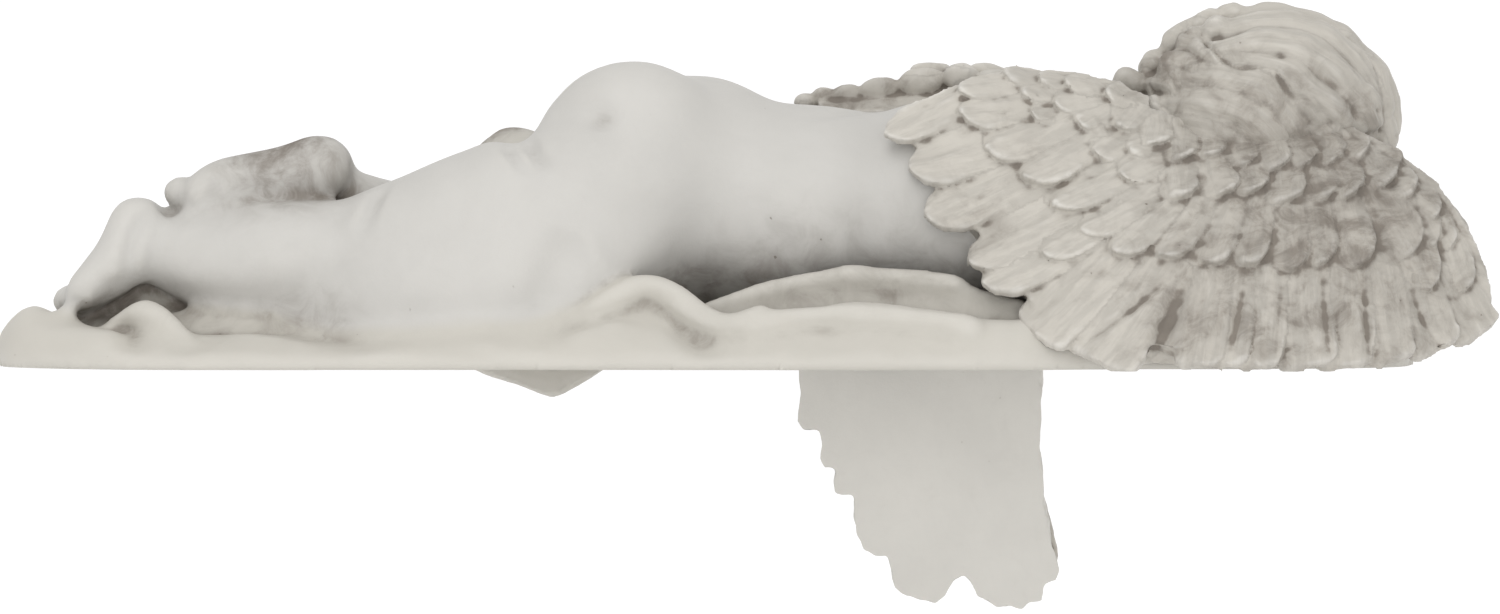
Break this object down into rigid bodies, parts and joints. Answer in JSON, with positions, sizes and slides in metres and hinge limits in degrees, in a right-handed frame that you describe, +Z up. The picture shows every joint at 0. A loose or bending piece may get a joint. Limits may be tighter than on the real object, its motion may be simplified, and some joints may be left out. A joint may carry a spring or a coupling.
{
  "type": "sleeping angel shelf statue",
  "caption": "Resin shelf statue of a winged child asleep on folded cloth, one wing spread behind it and the other hanging down over the shelf's front edge.",
  "frame": {"origin": "on the flat underside of the cloth, under the middle of the figure, where it sits on the shelf", "axes": "+X towards the head, +Y out past the shelf's front edge, +Z up"},
  "size_m": [0.3933, 0.1474, 0.1659],
  "materials": {
    "antique_stone": "matt off-white resin with a grey-brown antiquing wash in the hollows"
  },
  "bodies": {
    "root": {"sleeping_angel": "antique_stone"}
  },
  "joints": []
}
